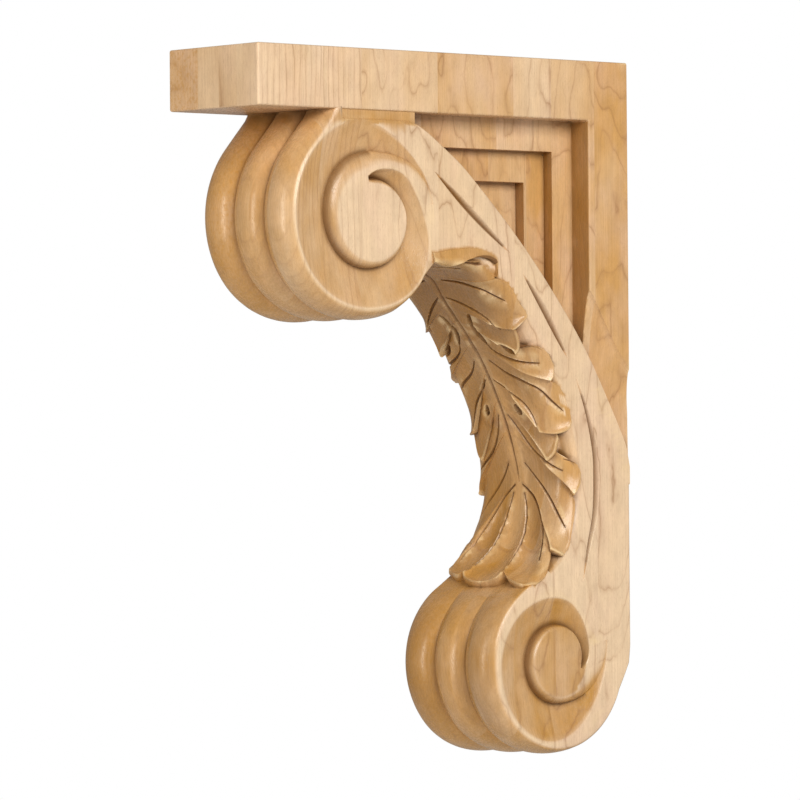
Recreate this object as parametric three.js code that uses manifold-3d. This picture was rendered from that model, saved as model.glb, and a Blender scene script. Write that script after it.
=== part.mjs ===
// Carved wooden corbel bracket, one glued-up block of wood: a square cap and a back leg, a stepped
// web in the corner between them, and an S scroll with a volute at each end, three reeds round
// each volute and an acanthus leaf down the hollow front.
// Millimetres, +Z up. The flat back lies on y = 0 and faces +Y, the scroll looks along -Y, and the
// two sides mirror each other in x = 0. The origin is on the back, half way down its flat.
import * as THREE from "three";
import Module from "manifold-3d";

const wasm = await Module();
wasm.setup();

// Sizes of the block
const width = 64; // side to side
const projection = 229; // wall to the front of the cap
const height = 330; // shelf face to the lowest reed
const capThickness = 28.4;
const legDepth = 25.3; // wall to the leg's inner face

// Sizes of the stepped web
const frameStep = 12; // from the block's side in to the first floor of the web
const panelStep = 5.9; // from each floor of the web in to the next
const borderAcross = 12.8; // width of each step's border beside the leg
const borderDown = 14.7; // width of each step's border under the cap
const neckStep = 2.5; // from the block's side in to the strip that joins the scroll to the cap

// Sizes of the scroll
const capOverhang = 17.5; // cap's front ahead of the upper volute's reeds
const scrollGap = 4; // cap's underside to the top of the scroll's side face
const upperRadius = 46.4; // upper volute, eye to rim
const lowerRadius = 41; // lower volute, eye to rim
const wallReach = 46; // lower volute's eye to the wall
const reedCount = 3;
const reedRise = 4.4; // reed's crest above the rims and the channels between reeds
const channelDepth = 5; // volute's channel below the side face
const crestWidth = 0.8; // flat left on the ridge between two turns
const valleyDepth = 6; // hollow between the leg's foot and the scroll

// Sizes of the leaf
const leafWrap = 13; // how far the leaf's edges fall back round the scroll's sides
const leafShoulder = 11; // radius where the leaf and its ground turn from the front to the sides
const leafRise = 4.5; // leaf's surface above the ground round it
const leafThickness = 6;
const leafProud = 0.9; // leaf's edge outside the block's side
const midribDepth = 1.7;
const dishDepth = 1.4; // hollow of each lobe
const fluteDepth = 2.4; // hollow of each tip

// Sizes of the lens-shaped cuts in the scroll's sides
const cutWidth = 3;
const cutDepth = 1.8;

const woodColour = 0xcf9f66;
const skirt = 1; // how far a cutting solid stands outside the face that it cuts
const turn = Math.PI / 180;

// Places that follow from the sizes
const flatLength = height - lowerRadius - reedRise - 0.02 * height;
const top = flatLength / 2;
const upperEye = {
  y: -(projection - capOverhang - reedRise - upperRadius),
  down: capThickness + scrollGap + 0.96 * upperRadius,
};
const lowerEye = { y: -wallReach, down: height - reedRise - lowerRadius };

// A point of the scroll's side view: across runs from 0 at the lower eye to 1 at the upper one,
// and down from 0 at the upper eye to 1 at the lower one.
function between(across, down) {
  return new THREE.Vector2(
    THREE.MathUtils.lerp(lowerEye.y, upperEye.y, across),
    THREE.MathUtils.lerp(upperEye.down, lowerEye.down, down),
  );
}

// A smooth function through pairs of a place and a value.
function through(pairs) {
  const slope = (i) => {
    const before = pairs[Math.max(i - 1, 0)];
    const after = pairs[Math.min(i + 1, pairs.length - 1)];
    return (after[1] - before[1]) / (after[0] - before[0]);
  };
  return (place) => {
    const last = pairs.length - 1;
    if (place <= pairs[0][0]) return pairs[0][1];
    if (place >= pairs[last][0]) return pairs[last][1];
    const i = pairs.findIndex((pair) => pair[0] > place) - 1;
    const span = pairs[i + 1][0] - pairs[i][0];
    const t = (place - pairs[i][0]) / span;
    const rise = pairs[i + 1][1] - pairs[i][1];
    const start = slope(i) * span;
    const end = slope(i + 1) * span;
    return pairs[i][1] + start * t + (3 * rise - 2 * start - end) * t * t
      + (start + end - 2 * rise) * t * t * t;
  };
}

// The upper volute turns from its top to the front, the lower one from the wall side downwards.
// Radii are shares of the volute's radius, angles are in degrees along the turn.
const upperVolute = {
  place: (angle, radius) => new THREE.Vector2(
    upperEye.y - radius * Math.sin(angle * turn),
    upperEye.down - radius * Math.cos(angle * turn),
  ),
  radius: upperRadius,
  crest: through([
    [-60, 0.8], [-15, 0.93], [20, 1], [120, 1.01], [180, 0.93], [225, 0.9], [250, 0.8],
    [270, 0.69], [290, 0.63], [315, 0.6], [335, 0.53], [352, 0.47], [372, 0.4],
  ]),
  crease: through([
    [-60, 0.79], [-45, 0.75], [-15, 0.665], [40, 0.62], [85, 0.575], [180, 0.52], [230, 0.51],
    [275, 0.46], [300, 0.43], [345, 0.385], [372, 0.36],
  ]),
  eye: through([[0, 0.415], [240, 0.43], [275, 0.42], [300, 0.38], [345, 0.315], [372, 0.3]]),
  start: -58,
  end: 370,
  rimStart: 40,
};
const lowerVolute = {
  place: (angle, radius) => new THREE.Vector2(
    lowerEye.y + radius * Math.cos(angle * turn),
    lowerEye.down + radius * Math.sin(angle * turn),
  ),
  radius: lowerRadius,
  crest: through([
    [-20, 0.8], [40, 0.85], [110, 0.97], [180, 0.94], [212, 0.88], [240, 0.81], [283, 0.72],
    [300, 0.64], [325, 0.535], [350, 0.465], [376, 0.37],
  ]),
  crease: through([
    [-20, 0.78], [0, 0.7], [25, 0.62], [65, 0.51], [90, 0.485], [180, 0.46], [265, 0.435],
    [300, 0.42], [345, 0.385], [376, 0.345],
  ]),
  eye: through([[0, 0.36], [300, 0.37], [345, 0.33], [376, 0.3]]),
  start: -18,
  end: 374,
  rimStart: 110,
};

// A smooth curve through pairs of numbers.
function splineThrough(pairs) {
  return new THREE.SplineCurve(pairs.map(([a, b]) => new THREE.Vector2(a, b)));
}

// A closed geometry skinned over rings that all have the same number of points. The ends are
// filled by endFaces, which gives the triangles of one ring.
function skin(rings, endFaces) {
  const count = rings[0].length;
  const points = rings.flat();
  const faces = [];
  for (let r = 0; r < rings.length - 1; r++) {
    for (let i = 0; i < count; i++) {
      const a = r * count + i;
      const b = r * count + ((i + 1) % count);
      faces.push([a, b, b + count], [a, b + count, a + count]);
    }
  }
  for (const triangle of endFaces(rings[0])) faces.push([...triangle].reverse());
  const offset = count * (rings.length - 1);
  for (const triangle of endFaces(rings.at(-1))) faces.push(triangle.map((i) => i + offset));
  const volume = faces.reduce((sum, [a, b, c]) =>
    sum + points[a].dot(new THREE.Vector3().crossVectors(points[b], points[c])), 0);
  if (volume < 0) faces.forEach((face) => face.reverse());
  const geometry = new THREE.BufferGeometry().setFromPoints(points);
  geometry.setIndex(faces.flat());
  return geometry;
}

// Triangles that fill a ring in a plane of constant x, with the ring's own turning sense.
function flatFaces(ring) {
  const flat = ring.map((p) => new THREE.Vector2(p.y, p.z));
  const clockwise = THREE.ShapeUtils.isClockWise(flat);
  const order = flat.map((_, i) => (clockwise ? flat.length - 1 - i : i));
  const triangles = THREE.ShapeUtils.triangulateShape(order.map((i) => flat[i]), []);
  return triangles.map((face) => {
    const kept = face.map((i) => order[i]);
    return clockwise ? kept.reverse() : kept;
  });
}

// Triangles that fill a ring by joining its first half to its second half, point by point.
function pairedFaces(ring) {
  const faces = [];
  for (let i = 0, j = ring.length - 1; i + 1 < j; i++, j--) {
    faces.push([i, i + 1, j]);
    if (i + 1 < j - 1) faces.push([i + 1, j - 1, j]);
  }
  return faces;
}

// A manifold solid of an indexed geometry with shared corners.
function solid(geometry) {
  return new wasm.Manifold(new wasm.Mesh({
    numProp: 3,
    vertProperties: Float32Array.from(geometry.attributes.position.array),
    triVerts: Uint32Array.from(geometry.index.array),
  }));
}

// A side-view outline run straight from one x to another.
function slab(outline, fromX, toX) {
  const rings = [fromX, toX].map((x) => outline.map((p) => new THREE.Vector3(x, p.x, top - p.y)));
  return solid(skin(rings, flatFaces));
}

// A rectangle of the side view, from the wall side to the front and from one depth to another.
function rectangle(back, front, upper, lower) {
  return [
    new THREE.Vector2(-back, upper), new THREE.Vector2(-front, upper),
    new THREE.Vector2(-front, lower), new THREE.Vector2(-back, lower),
  ];
}

// The same shape on both sides of the block; make takes the side, 1 or -1.
function bothSides(make) {
  return make(1).add(make(-1));
}

// The scroll's back edge from the wall up to the cap, as it shows on the side face.
const backEdge = new THREE.SplineCurve([
  new THREE.Vector2(0, between(0, 0.535).y), between(-0.33, 0.456), between(-0.222, 0.342),
  between(-0.045, 0.203), between(0.194, 0.05), between(0.467, -0.096), between(0.6, -0.153),
  new THREE.Vector2(upperEye.y + 0.6 * upperRadius, capThickness + scrollGap + 1.6),
  new THREE.Vector2(upperEye.y + 0.3 * upperRadius, capThickness + scrollGap),
  new THREE.Vector2(upperEye.y - 0.1 * upperRadius, capThickness + scrollGap),
  new THREE.Vector2(upperEye.y - 0.38 * upperRadius, capThickness + scrollGap),
]);

// The leaf's midrib from under the upper volute to the tips over the lower one.
const midrib = new THREE.SplineCurve([
  between(0.667, 0.103), between(0.561, 0.108), between(0.4535, 0.127), between(0.378, 0.178),
  between(0.194, 0.299), between(0.0754, 0.413), between(0, 0.517), between(-0.03, 0.615),
  between(0.036, 0.724), between(0.19, 0.808),
]);
const wrapShare = through([[0, 0.25], [0.12, 0.5], [0.22, 1], [0.55, 1], [0.8, 0.78], [1, 0.42]]);

// Half the leaf's section: across the front, round the shoulder and back along the side. Its
// points are how far out from the middle and how far back from the front.
const leafSection = new THREE.Path()
  .lineTo(width / 2 + leafProud - leafShoulder, 0)
  .absarc(width / 2 + leafProud - leafShoulder, leafShoulder, leafShoulder, -90 * turn, 0)
  .lineTo(width / 2 + leafProud, leafWrap);

// A place on the leaf's smooth form: share runs along the midrib, roll is 0 on the midrib and 1
// at the end of the section, and lift raises it off the form.
function leafForm(share, roll, lift) {
  const inside = THREE.MathUtils.clamp(share, 0, 1);
  const on = midrib.getPointAt(inside);
  const along = midrib.getTangentAt(inside);
  on.addScaledVector(along, (share - inside) * midrib.getLength());
  const reach = Math.abs(roll);
  const held = leafSection.getPointAt(Math.min(reach, 1));
  const heading = leafSection.getTangentAt(Math.min(reach, 1));
  held.addScaledVector(heading, Math.max(0, reach - 1) * leafSection.getLength());
  const back = held.y * wrapShare(share);
  const outward = new THREE.Vector2(-along.y, along.x);
  on.addScaledVector(outward, lift * heading.x - back);
  return new THREE.Vector3(Math.sign(roll) * (held.x + lift * heading.y), on.x, top - on.y);
}

// How far a reed's face stands above the channels at x.
function reed(x) {
  const pitch = width / reedCount;
  const off = (((x + width / 2) / pitch) % 1) * 2 - 1;
  return reedRise * (Math.sqrt(1.3 - off * off) - Math.sqrt(0.3)) / (Math.sqrt(1.3) - Math.sqrt(0.3));
}

// The scroll's outline as points that know how far they move outwards at each x.
function scrollOutline() {
  const points = [];
  const add = (point, shift) => points.push({ point, shift });
  const rise = (share) => (x) => share * reed(x);
  const inCap = capThickness - 2;
  add(new THREE.Vector2(upperEye.y - 0.43 * upperRadius, inCap), rise(1));
  add(new THREE.Vector2(upperEye.y - 0.51 * upperRadius, capThickness + 1.1 * scrollGap), rise(1));
  for (let angle = 50; angle <= 230; angle += 7.5) {
    const radius = upperRadius * upperVolute.crest(angle);
    add(upperVolute.place(angle, radius), rise(angle < 200 ? 1 : (245 - angle) / 45));
  }
  const rows = 24;
  for (let i = 1; i < rows; i++) {
    const share = (i / rows) * 0.955;
    const back = (x) => {
      const past = Math.max(0, Math.abs(x) - width / 2 + leafShoulder);
      const fall = leafShoulder - Math.sqrt(Math.max(0, leafShoulder ** 2 - past ** 2));
      const ending = 1 - THREE.MathUtils.smoothstep(share, 0.87, 0.97);
      return -leafRise * Math.min(1, share * 12) * ending - fall * wrapShare(share) * ending;
    };
    add(midrib.getPointAt(share), back);
  }
  const fade = through([
    [0, 0], [20, 0.1], [70, 0.4], [110, 0.7], [145, 1], [195, 1], [235, 0.1], [250, 0],
  ]);
  for (let angle = 240.25; angle >= 18; angle -= 7.66) {
    add(lowerVolute.place(angle, lowerRadius), rise(fade(angle)));
  }
  const wall = [[10, 1.045], [2, 1.1]];
  for (const [angle, share] of wall) add(lowerVolute.place(angle, lowerRadius * share), rise(0));
  add(new THREE.Vector2(0, flatLength), rise(0));
  const steps = 22;
  for (let i = 0; i <= steps; i++) add(backEdge.getPointAt(i / steps), rise(0));
  add(new THREE.Vector2(upperEye.y - 0.39 * upperRadius, inCap), rise(0));
  return points;
}

// The S scroll from side to side, reeded round the volutes and rounded over under the leaf.
function scroll() {
  const outline = scrollOutline();
  const normals = outline.map((_, i) => {
    const before = outline.at(i - 1).point;
    const after = outline[(i + 1) % outline.length].point;
    return new THREE.Vector2(before.y - after.y, after.x - before.x).normalize();
  });
  const stations = 6 * reedCount;
  const rings = [];
  for (let s = 0; s <= stations; s++) {
    const x = width * (s / stations - 0.5);
    rings.push(outline.map(({ point, shift }, i) => {
      const moved = point.clone().addScaledVector(normals[i], shift(Math.min(x, width / 2 - 1e-6)));
      return new THREE.Vector3(x, Math.min(moved.x, 0), top - moved.y);
    }));
  }
  return solid(skin(rings, flatFaces));
}

// The channel that coils into a volute's side: a long slope from the outer ridge down to a
// crease, and a round shoulder from the crease up to the next turn or to the eye.
function channel(volute, side) {
  const { place, radius, crest, crease, eye, start, end, rimStart } = volute;
  const rings = [];
  const steps = Math.round((end - start) / 10);
  for (let i = 0; i <= steps; i++) {
    const angle = THREE.MathUtils.lerp(start, end, i / steps);
    const low = crease(angle) * radius;
    const opening = THREE.MathUtils.smoothstep(angle, start, rimStart);
    const closing = 1 - 0.7 * THREE.MathUtils.smoothstep(angle, end - 14, end);
    const depth = channelDepth * (0.06 + 0.94 * opening) * closing;
    const spread = THREE.MathUtils.lerp(0.25, 1, opening);
    const outer = low + (crest(angle) * radius - crestWidth / 2 - low) * spread;
    const ridge = angle + 360 < end ? crest(angle + 360) * radius + crestWidth / 2 : 0;
    const inner = Math.min(Math.max(eye(angle) * radius, ridge), low - 0.6);
    const section = [[outer, -skirt], [outer, 0], [(outer + low) / 2, depth * 0.55], [low, depth]];
    for (const share of [0.45, 0.8, 1]) {
      const r = THREE.MathUtils.lerp(low, inner, share);
      section.push([r, depth * (1 - Math.sqrt(1 - (1 - share) ** 2))]);
    }
    section.push([inner, -skirt]);
    rings.push(section.map(([r, cut]) => {
      const p = place(angle, r);
      return new THREE.Vector3(side * (width / 2 - cut), p.x, top - p.y);
    }));
  }
  return solid(skin(rings, pairedFaces));
}

// One lens-shaped cut along a curve of the side view: widest and deepest in the middle.
function lensCut(curve, side) {
  const rings = [];
  const steps = 10;
  for (let i = 0; i <= steps; i++) {
    const swell = 0.04 + 0.96 * Math.sin((Math.PI * i) / steps) ** 0.8;
    const on = curve.getPointAt(i / steps);
    const along = curve.getTangentAt(i / steps);
    const across = new THREE.Vector2(-along.y, along.x).multiplyScalar((cutWidth * swell) / 2);
    const section = [[1, -skirt], [1, 0], [0, cutDepth * swell], [-1, 0], [-1, -skirt]];
    rings.push(section.map(([off, cut]) => {
      const p = on.clone().addScaledVector(across, off);
      return new THREE.Vector3(side * (width / 2 - cut), p.x, top - p.y);
    }));
  }
  return solid(skin(rings, pairedFaces));
}

// Cap and leg, one L with flush sides.
function frame() {
  const cap = slab(rectangle(0, projection, 0, capThickness), -width / 2, width / 2);
  const leg = slab(rectangle(0, legDepth, 0, between(0, 0.6).y), -width / 2, width / 2);
  return cap.add(leg);
}

const rooted = 6; // how deep the web and the strip under the cap go into the scroll

// The strip between the cap and the top of the scroll, set back a little from both sides.
function neck() {
  const across = width / 2 - neckStep;
  const wallSide = -upperEye.y - upperRadius / 2;
  const front = 0.4 * upperRadius - upperEye.y;
  const lower = capThickness + scrollGap + rooted;
  return slab(rectangle(wallSide, front, capThickness / 2, lower), -across, across);
}

// The web that fills the corner behind the scroll, stepping in towards the scroll on both sides.
function web() {
  const floor = width / 2 - frameStep;
  const edge = [0.14, 0.25, 0.4, 0.55, 0.7, 0.85, 0.95].map((share) => {
    const along = backEdge.getTangentAt(share);
    return backEdge.getPointAt(share).addScaledVector(new THREE.Vector2(along.y, -along.x), rooted);
  });
  const front = upperEye.y - 0.45 * upperRadius;
  const outline = [new THREE.Vector2(-legDepth / 2, capThickness / 2),
    new THREE.Vector2(-legDepth / 2, edge[0].y), ...edge,
    new THREE.Vector2(front, edge.at(-1).y), new THREE.Vector2(front, capThickness / 2)];
  let made = slab(outline, -floor, floor);
  for (const step of [1, 2]) {
    const wallSide = legDepth + borderAcross * step;
    const upper = capThickness + borderDown * step;
    const recess = rectangle(wallSide, projection, upper, height);
    made = made.subtract(bothSides((side) =>
      slab(recess, side * (floor - panelStep * step), side * width / 2)));
  }
  return made;
}

// The hollow where the leg's foot runs out against the scroll, one on each side.
function footValley(side) {
  const rows = [
    [new THREE.Vector2(-legDepth - 7, between(0, 0.135).y), between(-0.09, 0.24), 0.9],
    [new THREE.Vector2(-legDepth, between(0, 0.152).y), between(-0.135, 0.27), 1],
    [new THREE.Vector2(-0.75 * legDepth, between(0, 0.2).y), between(-0.2, 0.33), 1],
    [new THREE.Vector2(-0.36 * legDepth, between(0, 0.277).y), between(-0.27, 0.396), 0.9],
    [new THREE.Vector2(skirt, between(0, 0.345).y), between(-0.335, 0.46), 0.75],
    [new THREE.Vector2(skirt, between(0, 0.42).y), between(-0.38, 0.51), 0.5],
    [new THREE.Vector2(skirt, between(0, 0.54).y), new THREE.Vector2(skirt / 2, between(0, 0.57).y), 0.05],
  ];
  return solid(skin(rows.map(([high, low, share]) => {
    const deep = width / 2 - valleyDepth * share;
    const middle = high.clone().lerp(low, 0.35);
    const scooped = THREE.MathUtils.lerp(width / 2, deep, 0.55);
    return [
      [high, width / 2 + skirt], [high, width / 2], [middle, scooped], [low, deep],
      [low, width / 2 + skirt], [middle, width / 2 + skirt],
    ].map(([p, x]) => new THREE.Vector3(side * x, p.x, top - p.y));
  }), pairedFaces));
}

// The leaf's lobes down one edge. Each lobe's outline gives places as the share down the midrib
// and the roll round to the side; from and to are where its rows start on the midrib, and tilt
// is how far its face stands off the leaf's form at its upper and its lower edge.
const lobes = [
  {
    from: 0, to: 0.125, tilt: [-0.6, 0.4],
    edge: [[0, 0.98], [0.05, 1.06], [0.1, 1.16], [0.14, 1.2], [0.174, 0.97]],
  },
  {
    from: 0.125, to: 0.215, tilt: [-0.8, 1],
    edge: [[0.174, 0.97], [0.22, 1.02], [0.27, 0.985], [0.311, 0.985], [0.316, 0.77]],
  },
  {
    from: 0.215, to: 0.26, tilt: [0.6, 1.8],
    edge: [[0.316, 0.77], [0.345, 0.745], [0.37, 0.69], [0.38, 0.62]],
  },
  {
    from: 0.26, to: 0.34, tilt: [-1.3, 0.8],
    edge: [[0.38, 0.62], [0.374, 0.76], [0.395, 0.93], [0.43, 0.99], [0.458, 0.97], [0.475, 0.87]],
  },
  {
    from: 0.34, to: 0.425, tilt: [-0.6, 1.7],
    edge: [[0.475, 0.87], [0.5, 0.965], [0.55, 1], [0.59, 0.97], [0.603, 0.86], [0.591, 0.58]],
  },
  {
    from: 0.425, to: 0.5, tilt: [-1.3, 1.2],
    edge: [[0.591, 0.58], [0.6, 0.74], [0.625, 0.74], [0.667, 0.56]],
  },
  {
    from: 0.5, to: 0.585, tilt: [-1.1, 1.3],
    edge: [[0.667, 0.56], [0.674, 0.8], [0.7, 0.95], [0.728, 0.93], [0.75, 0.85]],
  },
  {
    from: 0.585, to: 0.7, tilt: [-1.1, 1.2],
    edge: [[0.75, 0.85], [0.78, 0.93], [0.835, 0.98], [0.872, 1.05], [0.888, 0.95], [0.892, 0.76]],
  },
  {
    from: 0.7, to: 0.9, tilt: [-0.6, 0.4],
    edge: [[0.892, 0.76], [0.93, 0.95], [0.965, 1.07], [1, 1], [1.016, 0.78], [0.988, 0.37]],
  },
  {
    from: 0.9, to: 0.98, tilt: [0, 0],
    edge: [[0.988, 0.37], [1.006, 0.27], [1.014, 0.14], [1.015, 0.03]],
  },
].map((lobe) => ({ ...lobe, track: splineThrough(lobe.edge) }));

// The lines between the three hollow tips: how far they stand from the midrib.
const innerFlute = through([
  [0.7, 0.03], [0.77, 0.12], [0.82, 0.19], [0.88, 0.22], [0.95, 0.28], [1.02, 0.36],
]);
const outerFlute = through([
  [0.7, 0.03], [0.725, 0.08], [0.756, 0.25], [0.8, 0.4], [0.885, 0.61], [0.93, 0.74],
  [0.98, 0.98], [1.02, 1.12],
]);

// The leaf's height over its smooth form at a part t of a lobe's edge and a part v of the way out
// to it: lobes are dished and overlap downwards, and the tips are hollow.
function leafRelief(share, roll, t, v, tilt) {
  const out = Math.abs(v);
  const far = Math.abs(roll);
  const { lerp, smoothstep } = THREE.MathUtils;
  const lap = lerp(tilt[0], tilt[1], t) * out ** 1.1;
  const hollow = Math.sin(Math.PI * t) * out ** 0.8 * (1 - out ** 9);
  const dish = dishDepth * hollow * (1 - smoothstep(share, 0.8, 0.95));
  const groove = midribDepth * Math.max(0, 1 - far / 0.07) * (1 - smoothstep(share, 0.66, 0.76));
  const inner = innerFlute(share);
  const outer = outerFlute(share);
  const part = far < inner ? far / inner : Math.min((2 * (far - inner)) / (outer - inner) - 1, 1);
  const flute = fluteDepth * (1 - part * part) ** 0.8 * smoothstep(share, 0.74, 0.9);
  return lap - dish - groove - flute;
}

// The acanthus leaf as a thick sheet on the scroll's hollow front, with three tips that stand
// off over the lower volute.
function leaf() {
  const out = [1, 0.93, 0.8, 0.66, 0.52, 0.38, 0.24, 0.12, 0.05];
  const over = [...out.map((v) => -v), 0, ...out.reverse()];
  const rings = [];
  for (const { track, from, to, tilt } of lobes) {
    for (const t of [0.02, 0.16, 0.34, 0.52, 0.7, 0.86, 1]) {
      const edge = track.getPointAt(t);
      const start = THREE.MathUtils.lerp(from, to, t);
      const shareAt = (v) => THREE.MathUtils.lerp(start, edge.x, Math.abs(v) ** 1.15);
      const upper = over.map((v) => {
        const roll = v * edge.y;
        return leafForm(shareAt(v), roll, leafRelief(shareAt(v), roll, t, v, tilt));
      });
      const lower = over.map((v) => leafForm(shareAt(v), v * edge.y * 0.96, -leafThickness - leafRise));
      rings.push([...upper, ...lower.reverse()]);
    }
  }
  return solid(skin(rings, pairedFaces));
}

// The lens-shaped cuts down the middle of the scroll's side face.
const lensCurves = [
  [between(0.674, -0.105), between(0.468, -0.013), between(0.26, 0.076)],
  [between(0.194, 0.119), between(0.07, 0.205), between(-0.054, 0.311)],
  [between(-0.096, 0.353), between(-0.16, 0.433), between(-0.202, 0.519), between(-0.209, 0.586),
    between(-0.2, 0.665), between(-0.163, 0.741), between(-0.13, 0.82)],
].map((points) => new THREE.SplineCurve(points));

function corbel() {
  let made = frame().add(web()).add(neck()).add(scroll());
  made = made.subtract(bothSides(footValley));
  for (const volute of [upperVolute, lowerVolute]) {
    made = made.subtract(bothSides((side) => channel(volute, side)));
  }
  for (const curve of lensCurves) made = made.subtract(bothSides((side) => lensCut(curve, side)));
  return made.add(leaf());
}

// A three.js geometry of a manifold solid.
function geometryOf(body) {
  const { numProp, vertProperties, triVerts } = body.getMesh();
  const points = [];
  for (let i = 0; i < vertProperties.length; i += numProp) {
    points.push(new THREE.Vector3().fromArray(vertProperties, i));
  }
  const geometry = new THREE.BufferGeometry().setFromPoints(points);
  geometry.setIndex(Array.from(triVerts));
  geometry.computeVertexNormals();
  return geometry;
}

const wood = new THREE.MeshStandardMaterial({ color: woodColour, roughness: 0.42, metalness: 0 });
const bracket = new THREE.Mesh(geometryOf(corbel()), wood);
bracket.name = "corbel_bracket";

const group = new THREE.Group();
group.add(bracket);
export default group;
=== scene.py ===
import bpy
import bmesh
import math
import numpy as np
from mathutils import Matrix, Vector
from mathutils.bvhtree import BVHTree
from mathutils.kdtree import KDTree


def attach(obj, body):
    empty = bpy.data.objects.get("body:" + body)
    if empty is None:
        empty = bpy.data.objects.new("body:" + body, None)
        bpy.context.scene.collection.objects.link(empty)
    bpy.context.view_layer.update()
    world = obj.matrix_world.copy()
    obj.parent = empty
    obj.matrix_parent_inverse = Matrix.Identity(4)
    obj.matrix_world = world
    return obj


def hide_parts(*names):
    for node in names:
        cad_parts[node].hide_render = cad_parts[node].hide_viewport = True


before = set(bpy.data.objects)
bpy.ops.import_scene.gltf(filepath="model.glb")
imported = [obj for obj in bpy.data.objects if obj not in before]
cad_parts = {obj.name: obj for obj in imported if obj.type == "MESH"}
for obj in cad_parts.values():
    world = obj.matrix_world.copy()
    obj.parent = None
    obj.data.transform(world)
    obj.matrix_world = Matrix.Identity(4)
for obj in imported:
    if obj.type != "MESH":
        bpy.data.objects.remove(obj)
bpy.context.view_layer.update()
bpy.ops.object.select_all(action="DESELECT")

# the block in mm; depths run down from the shelf face, y is 0 on the wall and negative to the front
block = {
    "width": 64.0, "projection": 229.0, "height": 330.0,
    "capThickness": 28.4, "legDepth": 25.3,
    "arris": 1.1,  # rounding sanded onto the square edges
}
halfWidth = block["width"] / 2

volutes = {
    "upperRadius": 46.4, "lowerRadius": 41.0, "capOverhang": 17.5, "scrollGap": 4.0,
    "wallReach": 46.0, "reedCount": 3, "reedRise": 4.4, "channelDepth": 5.0, "crestWidth": 0.5,
    "rimRound": 1.3,
    "arcStep": 2.5, "groundRows": 90, "groundEnd": 0.955,  # places along the outline, the last a share of the midrib
    "reedShare": 0.985,  # keeps the reeds' crests inside the CAD model's box
}
flatLength = block["height"] - volutes["lowerRadius"] - volutes["reedRise"] - 0.02 * block["height"]
topHeight = flatLength / 2
upperEye = (-(block["projection"] - volutes["capOverhang"] - volutes["reedRise"] - volutes["upperRadius"]),
            block["capThickness"] + volutes["scrollGap"] + 0.96 * volutes["upperRadius"])
lowerEye = (-volutes["wallReach"], block["height"] - volutes["reedRise"] - volutes["lowerRadius"])


def between(across, down):  # place in the side view, from eye to eye
    return (lowerEye[0] + (upperEye[0] - lowerEye[0]) * across,
            upperEye[1] + (lowerEye[1] - upperEye[1]) * down)


def through(pairs):  # smooth line through pairs of place and value
    xs = np.array([a for a, b in pairs], float)
    ys = np.array([b for a, b in pairs], float)
    last = len(xs) - 1
    slopes = np.array([(ys[min(i + 1, last)] - ys[max(i - 1, 0)]) / (xs[min(i + 1, last)] - xs[max(i - 1, 0)])
                       for i in range(last + 1)])

    def value(place):
        place = np.clip(np.asarray(place, float), xs[0], xs[-1])
        i = np.clip(np.searchsorted(xs, place, side="right") - 1, 0, last - 1)
        span = xs[i + 1] - xs[i]
        t = (place - xs[i]) / span
        rise = ys[i + 1] - ys[i]
        a, b = slopes[i] * span, slopes[i + 1] * span
        return ys[i] + a * t + (3 * rise - 2 * a - b) * t ** 2 + (a + b - 2 * rise) * t ** 3
    return value


class Track:  # smooth curve through points, read by the share of its length
    def __init__(self, points):
        p = np.array(points, float)
        n = len(p)
        t = np.linspace(0, n - 1, 1201)
        i = np.minimum(t.astype(int), n - 2)
        f = (t - i)[:, None]
        p0, p1, p2, p3 = p[np.maximum(i - 1, 0)], p[i], p[i + 1], p[np.minimum(i + 2, n - 1)]
        v0, v1 = (p2 - p0) / 2, (p3 - p1) / 2
        self.path = (2 * p1 - 2 * p2 + v0 + v1) * f ** 3 + (3 * p2 - 3 * p1 - 2 * v0 - v1) * f ** 2 + v0 * f + p1
        run = np.r_[0, np.cumsum(np.linalg.norm(np.diff(self.path, axis=0), axis=1))]
        self.length = run[-1]
        self.run = run / run[-1]

    def at(self, share):
        share = np.clip(share, 0, 1)
        return np.stack([np.interp(share, self.run, self.path[:, k]) for k in range(self.path.shape[1])], -1)

    def along(self, share):
        ahead = self.at(np.asarray(share) + 2e-3) - self.at(np.asarray(share) - 2e-3)
        return ahead / np.linalg.norm(ahead, axis=-1, keepdims=True)


def smoothStep(x, low, high):
    t = np.clip((np.asarray(x, float) - low) / (high - low), 0, 1)
    return t * t * (3 - 2 * t)


def newPiece(name, points, faces):  # points in mm, in the part's frame
    mesh = bpy.data.meshes.new(name)
    mesh.from_pydata((np.asarray(points, float) / 1000).tolist(), [], [list(f) for f in faces])
    piece = bpy.data.objects.new(name, mesh)
    bpy.context.collection.objects.link(piece)
    work = bmesh.new()
    work.from_mesh(mesh)
    bmesh.ops.recalc_face_normals(work, faces=work.faces)
    if work.calc_volume(signed=True) < 0:
        bmesh.ops.reverse_faces(work, faces=work.faces)
    work.to_mesh(mesh)
    work.free()
    return piece


def loft(name, rings, flatEnds):  # closed rings of equal count, ends filled flat or as a ladder
    rings = np.asarray(rings, float)
    rows, count, _ = rings.shape
    faces = []
    for r in range(rows - 1):
        for i in range(count):
            a, b = r * count + i, r * count + (i + 1) % count
            faces.append((a, b, b + count, a + count))
    for offset, turned in ((0, True), ((rows - 1) * count, False)):
        if flatEnds:
            faces.append([offset + i for i in range(count)])
        else:
            i, j = 0, count - 1
            while i + 1 < j:
                faces.append([offset + i, offset + i + 1, offset + j - 1, offset + j] if i + 1 < j - 1
                             else [offset + i, offset + i + 1, offset + j])
                i, j = i + 1, j - 1
    return newPiece(name, rings.reshape(-1, 3), faces)


def pick(piece):
    bpy.ops.object.select_all(action="DESELECT")
    piece.select_set(True)
    bpy.context.view_layer.objects.active = piece


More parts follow.
